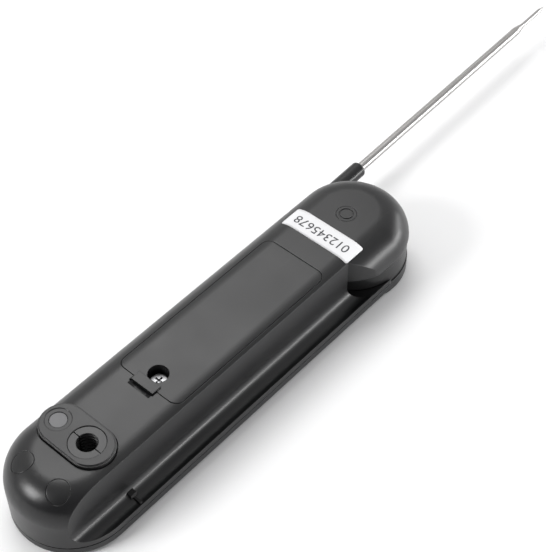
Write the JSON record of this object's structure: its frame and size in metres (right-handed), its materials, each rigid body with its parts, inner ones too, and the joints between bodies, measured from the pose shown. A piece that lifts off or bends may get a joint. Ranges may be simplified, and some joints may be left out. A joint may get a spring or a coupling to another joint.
{
  "type": "folding probe meat thermometer",
  "caption": "Pocket meat thermometer with a folding steel probe, domed back with battery door, raised sensor plate, side channel and flat display face.",
  "frame": {"origin": "middle of the body's plan, on the flat display face that it lies on", "axes": "+X towards the hinge end, +Y away from the probe channel, +Z out of the domed back"},
  "size_m": [0.2775, 0.0402, 0.0247],
  "materials": {
    "case_plastic": "satin moulded",
    "front_plastic": "satin moulded",
    "plug_plastic": "satin",
    "plate_plastic": "satin",
    "tunnel_plastic": "matt",
    "lamp_diffuser": "frosted",
    "seal_rubber": "matt",
    "clip_rubber": "matt",
    "button_rubber": "matt",
    "window_acrylic": "polished",
    "display_glass": "grey-green liquid crystal",
    "connector_strip": "striped elastomer",
    "board_laminate": "solder mask",
    "chip_epoxy": "matt",
    "screw_steel": "zinc plated",
    "spring_steel": "nickel plated",
    "insert_brass": "turned",
    "cell_sleeve": "printed film",
    "sensor_steel": "nickel plated",
    "lamp_resin": "clear",
    "hub_plastic": "satin",
    "sleeve_plastic": "gloss",
    "probe_steel": "polished stainless",
    "couple_wire": "drawn",
    "lead_jacket": "satin",
    "plug_nylon": "natural nylon",
    "label_paper": "coated paper"
  },
  "bodies": {
    "case": {"front_cover": "front_plastic", "back_cover": "case_plastic", "case_seal": "seal_rubber", "display_window": "window_acrylic", "display_panel": "display_glass", "display_connector": "connector_strip", "circuit_board": "board_laminate", "board_screws": "screw_steel", "control_chip": "chip_epoxy", "buzzer": "chip_epoxy", "button_switches": "spring_steel", "door_insert": "insert_brass", "battery_tray": "case_plastic", "battery_cells": "cell_sleeve", "cell_springs": "spring_steel", "cell_contacts": "spring_steel", "case_screws": "screw_steel", "screw_plugs": "plug_plastic", "sensor_plate": "plate_plastic", "plate_seal": "seal_rubber", "barrel_left": "tunnel_plastic", "barrel_right": "tunnel_plastic", "sensor_can": "sensor_steel", "sensor_board": "board_laminate", "lamp_window": "lamp_diffuser", "spot_lamp": "lamp_resin", "hub_seal": "seal_rubber", "detent_washer": "spring_steel", "probe_lead": "lead_jacket", "lead_plug": "plug_nylon", "probe_clip": "clip_rubber", "serial_label": "label_paper"},
    "probe": {"hinge_hub": "hub_plastic", "hub_cap": "hub_plastic", "probe_sleeve": "sleeve_plastic", "probe_shaft": "probe_steel", "thermocouple_core": "couple_wire"},
    "door": {"battery_door": "case_plastic"},
    "door_fastener": {"door_screw": "screw_steel"},
    "mode_key": {"mode_button": "button_rubber"},
    "scan_key": {"scan_button": "button_rubber"},
    "hold_key": {"hold_button": "button_rubber"}
  },
  "joints": [
    {"name": "probe_fold", "type": "hinge", "parent": "case", "child": "probe", "pos_m": [0.06025, 0, 0.009], "axis": [0, 0, 1], "range_deg": [-181.46, 0]},
    {"name": "battery_door_lift", "type": "hinge", "parent": "case", "child": "door", "pos_m": [0.03385, 0, 0.0234], "axis": [0, 1, 0], "range_deg": [0, 75]},
    {"name": "door_screw_turn", "type": "hinge", "parent": "door", "child": "door_fastener", "pos_m": [-0.0253, 0, 0.0186], "axis": [0, 0, 1], "continuous": true},
    {"name": "mode_press", "type": "slide", "parent": "case", "child": "mode_key", "axis": [0, 0, 1], "range_m": [0, 0.0006], "stiffness_N_per_m": 300, "springref_m": -0.0003},
    {"name": "scan_press", "type": "slide", "parent": "case", "child": "scan_key", "axis": [0, 0, 1], "range_m": [0, 0.0006], "stiffness_N_per_m": 300, "springref_m": -0.0003},
    {"name": "hold_press", "type": "slide", "parent": "case", "child": "hold_key", "axis": [0, 0, 1], "range_m": [0, 0.0006], "stiffness_N_per_m": 300, "springref_m": -0.0003}
  ]
}
